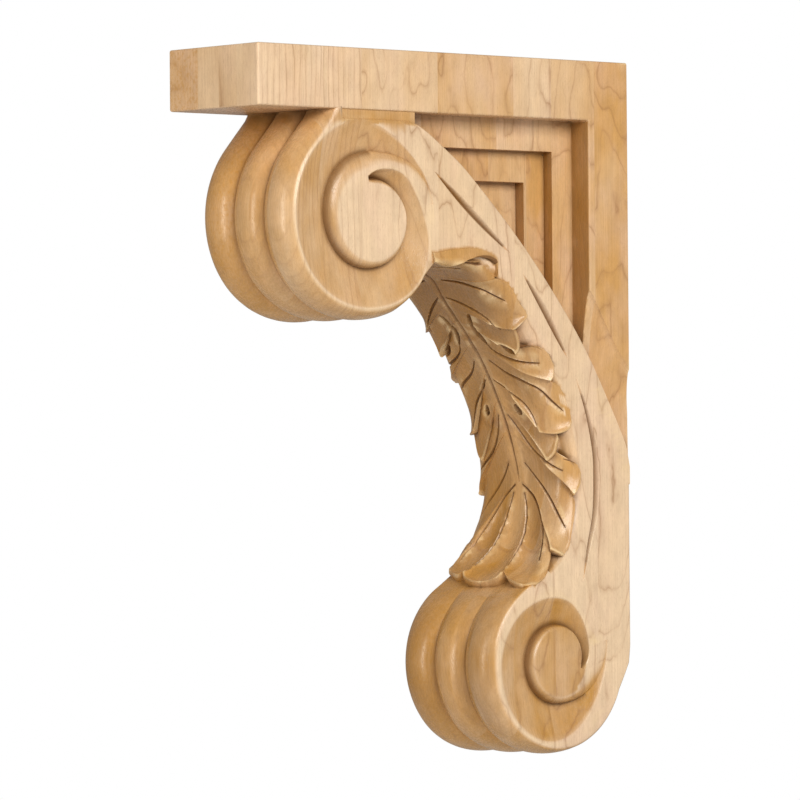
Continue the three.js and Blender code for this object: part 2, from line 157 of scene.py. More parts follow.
def applyModifier(piece, kind, **settings):
    pick(piece)
    step = piece.modifiers.new("step", kind)
    for key, value in settings.items():
        setattr(step, key, value)
    bpy.ops.object.modifier_apply(modifier=step.name)


def carve(piece, tool, how):  # join or cut, and the tool is gone
    applyModifier(piece, "BOOLEAN", operation=how, object=tool, solver="MANIFOLD")
    bpy.data.objects.remove(tool, do_unlink=True)


def soften(piece, width, segments, angle):
    applyModifier(piece, "BEVEL", width=width / 1000, segments=segments, limit_method="ANGLE",
                  angle_limit=math.radians(angle))


def box(name, x, y, down):  # a cube primitive brought to size in edit mode
    bpy.ops.object.select_all(action="DESELECT")
    bpy.ops.mesh.primitive_cube_add(size=1, location=(0, 0, 0))
    piece = bpy.context.object
    piece.name = name
    spans = (x, y, (topHeight - down[1], topHeight - down[0]))
    size, middle = [(b - a) / 1000 for a, b in spans], [(a + b) / 2000 for a, b in spans]
    bpy.ops.object.mode_set(mode="EDIT")
    bpy.ops.mesh.select_all(action="SELECT")
    bpy.ops.transform.resize(value=size)
    bpy.ops.transform.translate(value=middle)
    bpy.ops.object.mode_set(mode="OBJECT")
    return piece


# how each volute turns: angles in degrees along the turn, radii as shares of the volute's radius
upperTurn = {
    "eye": upperEye, "radius": volutes["upperRadius"], "upper": True,
    "crest": through([(-82, 0.84), (-60, 0.85), (-15, 0.93), (20, 1), (120, 1.01), (180, 0.93), (225, 0.9),
                      (250, 0.8), (270, 0.69), (290, 0.63), (315, 0.6), (335, 0.53), (352, 0.47), (372, 0.4)]),
    "crease": through([(-82, 0.80), (-60, 0.785), (-45, 0.75), (-15, 0.665), (40, 0.62), (85, 0.575),
                       (180, 0.52), (230, 0.51), (275, 0.46), (300, 0.43), (345, 0.385), (372, 0.36)]),
    "disc": through([(0, 0.415), (240, 0.43), (275, 0.42), (300, 0.38), (345, 0.315), (372, 0.3)]),
    "start": -80, "end": 370, "rimStart": 20,
}
lowerTurn = {
    "eye": lowerEye, "radius": volutes["lowerRadius"], "upper": False,
    "crest": through([(-20, 0.8), (40, 0.85), (110, 0.97), (180, 0.94), (212, 0.88), (240, 0.81),
                      (283, 0.72), (300, 0.64), (325, 0.535), (350, 0.465), (376, 0.37)]),
    "crease": through([(-20, 0.78), (0, 0.7), (25, 0.62), (65, 0.51), (90, 0.485), (180, 0.46),
                       (265, 0.435), (300, 0.42), (345, 0.385), (376, 0.345)]),
    "disc": through([(0, 0.36), (300, 0.37), (345, 0.33), (376, 0.3)]),
    "start": -18, "end": 374, "rimStart": 110,
}


def onTurn(turn, angle, radius):
    a = math.radians(angle)
    if turn["upper"]:
        return (turn["eye"][0] - radius * math.sin(a), turn["eye"][1] - radius * math.cos(a))
    return (turn["eye"][0] + radius * math.cos(a), turn["eye"][1] + radius * math.sin(a))


upperR, lowerR = volutes["upperRadius"], volutes["lowerRadius"]
capBottom = block["capThickness"]
backEdge = Track([
    (0, between(0, 0.535)[1]), between(-0.33, 0.456), between(-0.222, 0.342), between(-0.045, 0.203),
    between(0.194, 0.05), between(0.467, -0.096), between(0.6, -0.153),
    (upperEye[0] + 0.6 * upperR, capBottom + volutes["scrollGap"] + 1.6),
    (upperEye[0] + 0.3 * upperR, capBottom + volutes["scrollGap"]),
    (upperEye[0] - 0.1 * upperR, capBottom + volutes["scrollGap"]),
    (upperEye[0] - 0.38 * upperR, capBottom + volutes["scrollGap"]),
])
midrib = Track([
    between(0.667, 0.103), between(0.561, 0.108), between(0.4535, 0.127), between(0.378, 0.178),
    between(0.194, 0.299), between(0.0754, 0.413), between(0, 0.517), between(-0.03, 0.615),
    between(0.036, 0.724), between(0.19, 0.808),
])

leafSizes = {
    "wrap": 13.0, "shoulder": 11.0, "rise": 4.5, "proud": 0.9, "thickness": 6.0,
    "rowsPerLobe": 19, "edgeRound": 0.8, "lipRound": 2.0, "widest": 33.7,
}
wrapShare = through([(0, 0.25), (0.12, 0.5), (0.22, 1), (0.55, 1), (0.8, 0.78), (1, 0.42)])
flatReach = halfWidth + leafSizes["proud"] - leafSizes["shoulder"]
sectionLength = flatReach + leafSizes["shoulder"] * (math.pi / 2 - 1) + leafSizes["wrap"]


def leafForm(share, roll, lift):  # the leaf's smooth form: down the midrib, round to the side
    share, roll, lift = np.broadcast_arrays(np.asarray(share, float), roll, lift)
    inside = np.clip(share, 0, 1)
    along = midrib.along(inside)
    on = midrib.at(inside) + along * ((share - inside) * midrib.length)[..., None]
    s = np.abs(roll) * sectionLength
    a = np.clip((s - flatReach) / leafSizes["shoulder"], 0, math.pi / 2)
    past = np.maximum(0, s - flatReach - leafSizes["shoulder"] * math.pi / 2)
    out = np.minimum(s, flatReach) + leafSizes["shoulder"] * np.sin(a)
    back = (leafSizes["shoulder"] * (1 - np.cos(a)) + past) * wrapShare(share)
    outward = np.stack([-along[..., 1], along[..., 0]], -1)
    on = on + outward * (lift * np.cos(a) - back)[..., None]
    side = np.where(roll < 0, -1, 1)
    out = np.minimum(out + lift * np.sin(a), leafSizes["widest"])
    return np.stack([side * out, on[..., 0], topHeight - on[..., 1]], -1)


def reedHeight(x):
    pitch = block["width"] / volutes["reedCount"]
    off = (((x + halfWidth) / pitch) % 1) * 2 - 1
    return volutes["reedRise"] * (np.sqrt(1.3 - off ** 2) - math.sqrt(0.3)) / (math.sqrt(1.3) - math.sqrt(0.3))


def scrollBody():  # outline points with their share of the reeds, or their place under the leaf
    points, reedPart, groundAt = [], [], []

    def add(point, reed, ground=-1.0):
        points.append(point)
        reedPart.append(reed)
        groundAt.append(ground)

    inCap = capBottom - 2
    add((upperEye[0] - 0.43 * upperR, inCap), 1)
    add((upperEye[0] - 0.51 * upperR, capBottom + 1.1 * volutes["scrollGap"]), 1)
    for angle in np.arange(50, 231, volutes["arcStep"]):
        add(onTurn(upperTurn, angle, upperR * float(upperTurn["crest"](angle))),
            1 if angle < 200 else (245 - angle) / 45)
    rows = volutes["groundRows"]
    for i in range(1, rows):
        share = i / rows * volutes["groundEnd"]
        add(tuple(midrib.at(share)), 0, share)
    fade = through([(0, 0), (20, 0.1), (70, 0.4), (110, 0.7), (145, 1), (195, 1), (235, 0.1), (250, 0)])
    for angle in np.arange(240.25, 17.9, -volutes["arcStep"]):
        add(onTurn(lowerTurn, angle, lowerR), float(fade(angle)))
    add(onTurn(lowerTurn, 10, lowerR * 1.045), 0)
    add(onTurn(lowerTurn, 2, lowerR * 1.1), 0)
    add((0, flatLength), 0)
    for share in np.linspace(0, 1, 72):
        add(tuple(backEdge.at(share)), 0)
    add((upperEye[0] - 0.39 * upperR, inCap), 0)

    p = np.array(points, float)
    reed, ground = np.array(reedPart, float), np.array(groundAt, float)
    before, after = np.roll(p, 1, 0), np.roll(p, -1, 0)
    normal = np.stack([before[:, 1] - after[:, 1], after[:, 0] - before[:, 0]], -1)
    normal /= np.linalg.norm(normal, axis=1, keepdims=True)
    edge = volutes["rimRound"]
    half = np.r_[np.linspace(0, halfWidth - edge, 19), halfWidth - edge * np.array([0.62, 0.3, 0.08, 0])]
    pitch = block["width"] / volutes["reedCount"]
    half = np.unique(np.r_[half, pitch / 2 + np.array([-0.8, -0.3, 0, 0.3, 0.8])])  # the lines between reeds
    rings = []
    shoulder = leafSizes["shoulder"]
    for x in np.r_[-half[:0:-1], half]:
        rounded = edge - math.sqrt(max(0, edge ** 2 - max(0, abs(x) - halfWidth + edge) ** 2))
        past = max(0, abs(x) - halfWidth + shoulder)
        fall = shoulder - math.sqrt(max(0, shoulder ** 2 - past ** 2))
        shift = volutes["reedShare"] * reed * reedHeight(min(abs(x), halfWidth - 1e-6)) - rounded
        ending = 1 - smoothStep(ground, 0.93, 0.985)
        under = (-leafSizes["rise"] * np.minimum(1, ground * 12) - fall * wrapShare(ground)) * ending
        shift = np.where(ground >= 0, under, shift)
        moved = p + normal * shift[:, None]
        rings.append(np.stack([np.full(len(p), x), np.minimum(moved[:, 0], 0), topHeight - moved[:, 1]], -1))
    made = loft("scroll", rings, True)
    applyModifier(made, "TRIANGULATE", min_vertices=5)
    return made


channel = {  # the bowl's long slope and round shoulder, each as shares of the way across
    "rings": 150, "skirt": 1.0,
    "slope": (0.03, 0.08, 0.2, 0.35, 0.5, 0.65, 0.8, 0.9, 0.97), "shoulder": (0.04, 0.12, 0.25, 0.4, 0.6, 0.8, 0.93, 1),
}


def channelTool(turn, side):
    rings = []
    depthFull, skirt = volutes["channelDepth"], channel["skirt"]
    for angle in np.linspace(turn["start"], turn["end"], channel["rings"]):
        radius = turn["radius"]
        low = float(turn["crease"](angle)) * radius
        opening = float(smoothStep(angle, turn["start"], turn["rimStart"]))
        closing = 1 - 0.7 * float(smoothStep(angle, turn["end"] - 14, turn["end"]))
        depth = depthFull * (0.06 + 0.94 * opening) * closing
        spread = 0.25 + 0.75 * opening
        outer = low + (float(turn["crest"](angle)) * radius - volutes["crestWidth"] / 2 - low) * spread
        ridge = 0
        if angle + 360 < turn["end"]:
            ridge = float(turn["crest"](angle + 360)) * radius + volutes["crestWidth"] / 2
        inner = min(max(float(turn["disc"](angle)) * radius, ridge), low - 0.6)
        section = [(outer + 0.25, -skirt), (outer + 0.25, 0)]
        for share in channel["slope"]:
            bowl = 1.02 * share ** 0.92 + 0.02 * math.sin(math.pi * share)
            section.append((outer + (low - outer) * share, depth * min(bowl, 1)))
        section.append((low, depth))
        for share in channel["shoulder"]:
            section.append((low + (inner - low) * share, depth * (1 - math.sqrt(1 - (1 - share) ** 2))))
        section.append((inner, -skirt))
        ring = []
        for r, cut in section:
            y, down = onTurn(turn, angle, r)
            ring.append((side * (halfWidth - cut), y, topHeight - down))
        rings.append(ring)
    return loft("channel", rings, False)


lensCuts = {
    "width": 3.7, "depth": 2.3,
    "section": [(1.25, -0.03), (0.95, 0.1), (0.12, 0.96), (-0.12, 0.96), (-0.95, 0.1), (-1.25, -0.03)],
    "curves": [
        [between(0.674, -0.105), between(0.468, -0.013), between(0.26, 0.076)],
        [between(0.194, 0.119), between(0.07, 0.205), between(-0.054, 0.311)],
        [between(-0.096, 0.353), between(-0.16, 0.433), between(-0.202, 0.519), between(-0.209, 0.586),
         between(-0.2, 0.665), between(-0.163, 0.741), between(-0.13, 0.82)],
    ],
}

grooveBottoms = []  # places along the bottoms of the thin cuts, for the painted shade in them


def lensTool(points, side):
    track = Track(points)
    rings = []
    for t in np.linspace(0, 1, 41):
        swell = 0.03 + 0.97 * max(0, math.sin(math.pi * t)) ** 0.8
        on, along = track.at(t), track.along(min(max(t, 0.003), 0.997))
        across = np.array([-along[1], along[0]]) * lensCuts["width"] * swell / 2
        deep = [(off, lensCuts["depth"] * swell * cut) for off, cut in lensCuts["section"]]
        ring = []
        for off, depth in [(deep[0][0], -1)] + deep + [(deep[-1][0], -1)]:
            p = on + across * off
            ring.append((side * (halfWidth - depth), p[0], topHeight - p[1]))
        rings.append(ring)
        if swell > 0.4:
            grooveBottoms.append((np.array(ring[3]) + np.array(ring[4])) / 2)
    return loft("lens", rings, False)


webSizes = {
    "frameStep": 12.0, "panelStep": 5.9, "borderAcross": 12.8, "borderDown": 14.7, "softEdge": 0.4,
    "neckStep": 1.0, "neckSpan": (0.40, 0.57),  # the span as shares of the upper volute's radius round its eye
    "rooted": 6.0,  # how far a part reaches into the one that it joins
    "edgeSpan": (0.14, 0.95), "front": 0.45,
}


def blockBody():  # cap and leg, the neck over the upper volute and the stepped web
    behind = 4  # sawn off after the bevel, so that the back's edges stay sharp
    legEnd = between(0, 0.6)[1]
    outline = [(behind, 0), (-block["projection"], 0), (-block["projection"], capBottom),
               (-block["legDepth"], capBottom), (-block["legDepth"], legEnd), (behind, legEnd)]
    cap = loft("corbel", [[(x, y, topHeight - d) for y, d in outline] for x in (-halfWidth, halfWidth)], True)
    soften(cap, block["arris"], 4, 40)
    carve(cap, box("saw", (-50, 50), (0, 20), (-20, 400)), "DIFFERENCE")
    neckHalf = halfWidth - webSizes["neckStep"]
    ahead, after = webSizes["neckSpan"]
    neck = box("neck", (-neckHalf, neckHalf), (upperEye[0] - ahead * upperR, upperEye[0] + after * upperR),
               (capBottom / 2, capBottom + volutes["scrollGap"] + webSizes["rooted"]))
    carve(cap, neck, "UNION")
    floor = halfWidth - webSizes["frameStep"]
    shares = np.linspace(*webSizes["edgeSpan"], 26)
    along = backEdge.along(shares)
    edge = backEdge.at(shares) + np.stack([along[:, 1], -along[:, 0]], -1) * webSizes["rooted"]
    front = upperEye[0] - webSizes["front"] * upperR
    outline = [(-block["legDepth"] / 2, capBottom / 2), (-block["legDepth"] / 2, edge[0][1])]
    outline += [tuple(e) for e in edge] + [(front, edge[-1][1]), (front, capBottom / 2)]
    web = loft("web", [[(x, y, topHeight - d) for y, d in outline] for x in (-floor, floor)], True)
    for step in (1, 2):
        for side in (1, -1):
            inner = side * (floor - webSizes["panelStep"] * step)
            outer = side * (halfWidth + 5)
            recess = box("recess", tuple(sorted((inner, outer))),
                         (-block["projection"], -block["legDepth"] - webSizes["borderAcross"] * step),
                         (capBottom + webSizes["borderDown"] * step, block["height"]))
            carve(web, recess, "DIFFERENCE")
    soften(web, webSizes["softEdge"], 2, 60)
    carve(cap, web, "UNION")
    return cap


footSizes = {"depth": 6.0, "skirt": 1.0, "above": 7.0, "slope": (0, 0.04, 0.12, 0.24, 0.4, 0.6, 0.8, 1)}


def footTool(side):  # the hollow where the leg's foot runs out; each row is its high end, low end and depth
    legDepth, skirt = block["legDepth"], footSizes["skirt"]
    rows = [
        ((-legDepth - footSizes["above"], between(0, 0.135)[1]), between(-0.09, 0.24), 0.9),
        ((-legDepth, between(0, 0.152)[1]), between(-0.135, 0.27), 1),
        ((-0.75 * legDepth, between(0, 0.2)[1]), between(-0.2, 0.33), 1),
        ((-0.36 * legDepth, between(0, 0.277)[1]), between(-0.27, 0.396), 0.9),
        ((skirt, between(0, 0.345)[1]), between(-0.335, 0.46), 0.75),
        ((skirt, between(0, 0.42)[1]), between(-0.38, 0.51), 0.5),
        ((skirt, between(0, 0.54)[1]), (skirt / 2, between(0, 0.57)[1]), 0.05),
    ]
    highs, lows = Track([r[0] for r in rows]), Track([r[1] for r in rows])
    shares = through([(i, r[2]) for i, r in enumerate(rows)])
    rings = []
    for k in np.linspace(0, len(rows) - 1, 49):
        i = min(int(k * 200), 1200)
        high, low = highs.path[i], lows.path[i]
        deep = halfWidth - footSizes["depth"] * float(shares(k))
        ring = [(side * (halfWidth + skirt), high[0], topHeight - high[1])]
        for t in footSizes["slope"]:
            p = high + (low - high) * t
            x = halfWidth + (deep - halfWidth) * (t ** 0.55)
            ring.append((side * x, p[0], topHeight - p[1]))
        ring.append((side * (halfWidth + skirt), low[0], topHeight - low[1]))
        rings.append(ring)
    return loft("foot", rings, False)


# each lobe of the leaf: its outline as (share down the midrib, roll round to the side), where its rows
# start on the midrib, how far its face stands off at its two edges, and how far it is dished
lobes = [
    {"edge": [(0.0, 0.80), (0.03, 0.77), (0.06, 0.80), (0.09, 0.94), (0.125, 1.12), (0.147, 1.20), (0.165, 1.08),
              (0.174, 0.97)],
     "from": 0.0, "to": 0.125, "tilt": (-4.0, -1.4), "dish": 0.6},
    {"edge": [(0.174, 0.97), (0.205, 1.02), (0.24, 1.02), (0.27, 0.985), (0.295, 0.985), (0.312, 0.985),
              (0.3145, 0.88), (0.316, 0.77)],
     "from": 0.125, "to": 0.215, "tilt": (-0.9, 1.2), "dish": 2.2},
    {"edge": [(0.316, 0.77), (0.335, 0.755), (0.358, 0.72), (0.372, 0.68), (0.380, 0.62)],
     "from": 0.215, "to": 0.26, "tilt": (-0.6, 1.6), "dish": 1.2},
    {"edge": [(0.380, 0.62), (0.374, 0.74), (0.379, 0.84), (0.397, 0.94), (0.425, 0.99), (0.450, 0.985),
              (0.468, 0.92), (0.475, 0.87)],
     "from": 0.26, "to": 0.34, "tilt": (-2.6, 1.0), "dish": 2.2},
    {"edge": [(0.475, 0.87), (0.487, 0.93), (0.511, 0.985), (0.55, 1.0), (0.583, 0.985), (0.600, 0.93),
              (0.604, 0.84), (0.602, 0.72), (0.591, 0.58)],
     "from": 0.34, "to": 0.425, "tilt": (-1.2, 2.0), "dish": 2.5},
    {"edge": [(0.591, 0.58), (0.593, 0.66), (0.600, 0.74), (0.612, 0.755), (0.628, 0.72), (0.651, 0.66),
              (0.667, 0.56)],
     "from": 0.425, "to": 0.50, "tilt": (-2.2, 0.9), "dish": 1.5},
    {"edge": [(0.667, 0.56), (0.668, 0.68), (0.674, 0.80), (0.686, 0.91), (0.706, 0.955), (0.728, 0.93),
              (0.750, 0.85)],
     "from": 0.50, "to": 0.585, "tilt": (-2.2, 1.4), "dish": 1.9},
    {"edge": [(0.750, 0.85), (0.767, 0.91), (0.792, 0.94), (0.835, 0.98), (0.866, 1.04), (0.884, 1.02),
              (0.889, 0.90), (0.892, 0.76)],
     "from": 0.585, "to": 0.70, "tilt": (-1.6, 1.6), "dish": 1.8},
    {"edge": [(0.892, 0.76), (0.912, 0.87), (0.937, 0.97), (0.960, 1.06), (0.984, 1.07), (1.004, 0.97),
              (1.016, 0.82), (1.015, 0.64), (1.004, 0.47), (0.988, 0.37)],
     "from": 0.70, "to": 0.90, "tilt": (-1.4, 0.5), "dish": 0.0},
    {"edge": [(0.988, 0.37), (1.004, 0.29), (1.012, 0.19), (1.015, 0.08), (1.015, 0.0)],
     "from": 0.90, "to": 1.012, "tilt": (0.0, 0.0), "dish": 0.0},
]
fluteEdges = {  # lines between the three hollow tips, and how deep each tip is hollowed
    "inner": through([(0.70, 0.03), (0.77, 0.12), (0.82, 0.19), (0.88, 0.22), (0.95, 0.28), (1.02, 0.36)]),
    "outer": through([(0.70, 0.03), (0.725, 0.08), (0.756, 0.25), (0.80, 0.40), (0.842, 0.51), (0.885, 0.61),
                      (0.93, 0.74), (0.98, 0.98), (1.02, 1.12)]),
    "depth": 3.3,
}
ridgesOn = {  # low rounded ridges on the leaf in mm: height, distance from the edge or the midrib, width
    "edge": (0.55, 1.2, 0.8), "bank": (0.5, 3.2, 1.8), "lip": (1.1, 1.6, 1.4),
}


def ridge(kind, distance):
    height, place, width = ridgesOn[kind]
    return height * np.exp(-((distance - place) / width) ** 2)


def leafHeight(share, roll, t, v, gap, lobe):  # gap is how far in from the edge
    out = np.abs(v)
    low, high = lobe["tilt"]
    height = (low + (high - low) * t) * out ** 1.2
    height -= lobe["dish"] * np.sin(np.pi * t) ** 0.8 * out ** 0.8 * (1 - out ** 9)
    height += ridge("edge", gap) * smoothStep(share, 0.16, 0.2)
    height += ridge("bank", np.abs(roll) * sectionLength) * (1 - smoothStep(share, 0.6, 0.76))
    a, b = fluteEdges["inner"](share), fluteEdges["outer"](share)
    r = np.abs(roll)
    middle = np.clip(r / np.maximum(a, 1e-3), 0, 1)
    outer = np.clip((r - a) / np.maximum(b - a, 1e-3), 0, 1)
    hollow = np.where(r < a, 1 - middle ** 2, np.where(r < b, 1 - (2 * outer - 1) ** 2, 0))
    hollow = fluteEdges["depth"] * hollow ** 0.8 * smoothStep(share, 0.73, 0.88)
    height -= hollow * (1 - 0.3 * smoothStep(share, 0.93, 1.0))
    height += ridge("lip", gap) * smoothStep(share, 0.93, 0.98)
    return height


farTip = {"narrower": 0.15, "shorter": 0.036, "leastRoll": 0.74}  # the hidden side's lowest tip
acrossLobe = (0, 0.03, 0.06, 0.10, 0.15, 0.21, 0.27, 0.33, 0.40, 0.47, 0.54, 0.61, 0.68, 0.74, 0.79, 0.835,
              0.87, 0.90, 0.926, 0.948, 0.966, 0.982, 0.993, 1.0)


def leafSheet():  # rows from edge to edge over the midrib, joined to a smooth underside
    over = np.array(acrossLobe)
    over = np.r_[-over[:0:-1], over]
    far = over < 0
    rings = []
    for number, lobe in enumerate(lobes):
        track = Track(lobe["edge"])
        rows = leafSizes["rowsPerLobe"]
        ts = 0.5 - 0.5 * np.cos(np.pi * np.linspace(0, 1, rows))
        ts = 0.5 * ts + 0.5 * np.linspace(0, 1, rows)
        if number:
            ts = np.r_[0.004, ts[1:]]
        if number == len(lobes) - 1:
            ts = np.r_[ts[:-1], 0.999]
        for t in ts:
            edgeShare, edgeRoll = track.at(t)
            start = lobe["from"] + (lobe["to"] - lobe["from"]) * t
            outside = float(smoothStep(edgeRoll, 0.3, 0.8))
            narrower = 1 - farTip["narrower"] * float(smoothStep(edgeShare, 0.70, 0.93)) * outside
            shorter = farTip["shorter"] * float(smoothStep(edgeShare, 0.86, 0.97)) * outside
            share = start + (edgeShare - np.where(far, shorter, 0) - start) * np.abs(over) ** 1.15
            farRoll = edgeRoll * narrower
            if 0.86 < edgeShare < 0.95 and edgeRoll > 0.3:
                farRoll = max(farRoll, farTip["leastRoll"])  # no notch before the far tip
            roll = over * np.where(far, farRoll, edgeRoll)
            bare = leafForm(share, roll, 0.0)
            ends = np.where(far[:, None], bare[0], bare[-1])
            gap = np.linalg.norm(bare - ends, axis=1)
            lift = leafHeight(share, roll, t, over, gap, lobe)
            smoother = {**lobe, "tilt": (0.0, 0.0)}
            merged = float(smoothStep(edgeShare, 0.78, 0.86))
            lift = lift + far * merged * (leafHeight(share, roll, t, over, gap, smoother) - lift)
            lip = float(smoothStep(edgeShare, 0.91, 0.96))
            rounding = leafSizes["edgeRound"] + (leafSizes["lipRound"] - leafSizes["edgeRound"]) * lip
            lift = lift - (rounding - np.sqrt(np.maximum(0, rounding ** 2 - np.maximum(0, rounding - gap) ** 2)))
            upper = leafForm(share, roll, lift)
            lower = leafForm(share, roll * 0.96, np.full(len(over), -leafSizes["thickness"] - leafSizes["rise"]))
            rings.append(np.r_[upper, lower[::-1]])
    return loft("leaf", rings, False)


collar = {  # rolled lip at the leaf's top: its line on the side, its crest, and the profile between them
    "top": [(-0.014, 1.18), (0.025, 1.21), (0.079, 1.26), (0.109, 1.28), (0.125, 1.28), (0.138, 1.28), (0.147, 1.24),
            (0.156, 1.12), (0.172, 0.98)],
    "crest": [(-0.011, 0.84), (0.020, 0.76), (0.045, 0.72), (0.061, 0.78), (0.077, 0.87), (0.100, 0.99), (0.120, 1.10),
              (0.131, 1.16), (0.140, 1.20), (0.147, 1.20), (0.154, 1.10), (0.170, 0.97)],
    "profile": [(-0.03, -6.0), (-0.01, -1.4), (0.0, -0.5), (0.06, -0.3), (0.3, -0.35), (0.55, 0.0), (0.75, 0.7),
                (0.9, 1.4), (1.0, 1.7), (1.1, 1.4), (1.2, 0.2), (1.3, -2.4), (1.4, -6.0)],
}


def collarBand(side):
    top, crest = Track(collar["top"]), Track(collar["crest"])
    rings = []
    for u in np.linspace(0, 1, 56):
        a, b = top.at(u), crest.at(u)
        ring = []
        for t, lift in collar["profile"]:
            share, roll = a + (b - a) * t
            x, y, z = leafForm(share, roll, lift)
            ring.append((side * x, y, z))
        rings.append(ring)
    return loft("collar", rings, False)


veins = {  # thin cuts of the parting tool: width and depth in mm, and each line's places on the leaf
    "width": 1.75, "depth": 1.45,
    "lines": [
        [(0.142, 0.14), (0.157, 0.44), (0.182, 0.66), (0.215, 0.77), (0.244, 0.85)],
        [(0.193, 0.07), (0.223, 0.28), (0.258, 0.47), (0.280, 0.55), (0.305, 0.60)],
        [(0.336, 0.22), (0.363, 0.28), (0.385, 0.42), (0.402, 0.59), (0.425, 0.83)],
        [(0.394, 0.13), (0.430, 0.29), (0.461, 0.53), (0.486, 0.69), (0.527, 0.81), (0.559, 0.91)],
        [(0.446, 0.07), (0.478, 0.22), (0.513, 0.40), (0.550, 0.50), (0.589, 0.56)],
        [(0.544, 0.08), (0.594, 0.20), (0.637, 0.34), (0.670, 0.53), (0.695, 0.72)],
        [(0.672, 0.14), (0.709, 0.28), (0.756, 0.49), (0.800, 0.69), (0.825, 0.84)],
        [(0.725, 0.06), (0.756, 0.25), (0.801, 0.40), (0.842, 0.51), (0.885, 0.60), (0.925, 0.70)],
        [(0.745, 0.09), (0.79, 0.155), (0.84, 0.20), (0.90, 0.235), (0.955, 0.285)],
        [(0.100, 0.81), (0.125, 0.95), (0.140, 1.10)],
        [(0.060, 0.20), (0.085, 0.42), (0.110, 0.62)],
    ],
}
midribCut = {"width": 2.3, "depth": 1.9, "line": [(0.03, 0.0), (0.25, 0.0), (0.5, 0.0), (0.72, 0.0)]}
eyes = {  # deep drop-shaped cuts where two lobes part
    "width": 3.3, "depth": 4.2,
    "lines": [
        [(0.250, 0.25), (0.275, 0.19), (0.308, 0.175), (0.345, 0.24)],
        [(0.518, 0.24), (0.533, 0.262), (0.547, 0.30)],
        [(0.348, 0.44), (0.366, 0.52), (0.381, 0.62)],
    ],
}


def veinTool(points, side, sizes, surface, steps=34):
    track = Track(points)
    rings = []
    for t in np.linspace(0, 1, steps):
        swell = 0.12 + 0.88 * math.sin(math.pi * min(t * 0.93 + 0.05, 1)) ** 0.6
        share, roll = track.at(t)
        a = leafForm(*track.at(min(t + 0.01, 1)), 0.0)
        b = leafForm(*track.at(max(t - 0.01, 0)), 0.0)
        here, above = leafForm(share, roll, 0.0), leafForm(share, roll, 0.5)
        up = above - here
        up /= np.linalg.norm(up)
        across = np.cross(a - b, up)
        across /= np.linalg.norm(across)
        hit = surface.ray_cast((here + up * 8) / 1000, -up, 0.016)  # the cut starts on the dished surface
        if hit[0] is not None:
            here = np.array(hit[0]) * 1000
        half, deep = sizes["width"] * swell / 2, sizes["depth"] * swell
        ring = []
        for off, lift in ((half * 3, 3.6), (half, 0.0), (0.12, -deep), (-0.12, -deep), (-half, 0.0), (-half * 3, 3.6)):
            p = here + across * off + up * lift
            ring.append((p[0] * side, p[1], p[2]))
        rings.append(ring)
        if swell > 0.4:
            grooveBottoms.append((np.array(ring[2]) + np.array(ring[3])) / 2)
    return loft("vein", rings, False)


corbel = blockBody()
print("block done", len(corbel.data.polygons))
carve(corbel, scrollBody(), "UNION")
print("scroll joined", len(corbel.data.polygons))
for side in (1, -1):
    carve(corbel, footTool(side), "DIFFERENCE")
    for turn in (upperTurn, lowerTurn):
        carve(corbel, channelTool(turn, side), "DIFFERENCE")
    for curve in lensCuts["curves"]:
        carve(corbel, lensTool(curve, side), "DIFFERENCE")
print("volutes carved", len(corbel.data.polygons))
leaf = leafSheet()
for side in (1, -1):
    carve(leaf, collarBand(side), "UNION")
leafPlaces = [tuple(v.co) for v in leaf.data.vertices]
surface = BVHTree.FromPolygons(leafPlaces, [list(p.vertices) for p in leaf.data.polygons])
carve(leaf, veinTool(midribCut["line"], 1, midribCut, surface, 90), "DIFFERENCE")
for side in (1, -1):
    for line in veins["lines"]:
        carve(leaf, veinTool(line, side, veins, surface), "DIFFERENCE")
print("veins cut", len(leaf.data.polygons))
carve(corbel, leaf, "UNION")
print("leaf joined", len(corbel.data.polygons))
for side in (1, -1):
    for line in eyes["lines"]:
        carve(corbel, veinTool(line, side, eyes, surface), "DIFFERENCE")


def dropCrumbs(piece, least):  # loose bits of a few points, left where cuts meet
    work = bmesh.new()
    work.from_mesh(piece.data)
    waiting, crumbs = set(work.verts), []
    while waiting:
        island = [waiting.pop()]
        for vert in island:  # the list grows as its neighbours are found
            for edge in vert.link_edges:
                other = edge.other_vert(vert)
                if other in waiting:
                    waiting.discard(other)
                    island.append(other)
        if len(island) < least:
            crumbs += island
    bmesh.ops.delete(work, geom=crumbs, context="VERTS")
    work.to_mesh(piece.data)
    work.free()
    print("crumbs dropped", len(crumbs))


dropCrumbs(corbel, 200)
corbel.name = corbel.data.name = "corbel_carved"

maple = {  # colours are linear, lengths in mm
    "pale": (0.835, 0.622, 0.410, 1), "honey": (0.640, 0.352, 0.120, 1), "amberAndShade": (0.525, 0.252, 0.038, 1),
    # the darkest colour is painted shade in creases and cuts, the lightest is painted highlight on rims, partly edge
    # wear
    "pink": (0.800, 0.540, 0.390, 1), "line": (0.300, 0.130, 0.045, 1), "creviceShade": (0.155, 0.062, 0.014, 1),
    "wearAndHighlight": (0.900, 0.670, 0.370, 1),
    "ringPitch": 5.2, "lineStrength": 0.64, "creviceShadeStrength": 0.85, "grooveShadeStrength": 0.76, "wearAndHighlightStrength": 0.65,
    "fleckStrength": 0.16, "seamStrength": 0.5, "seamWidth": 0.25,
    "seamsY": (-191, -168, -121, -74, -50, -22), "seamsX": (-11, 4, 17),
    "roughness": 0.29, "bumpStrength": 0.35, "bumpDepth": 0.25,
}


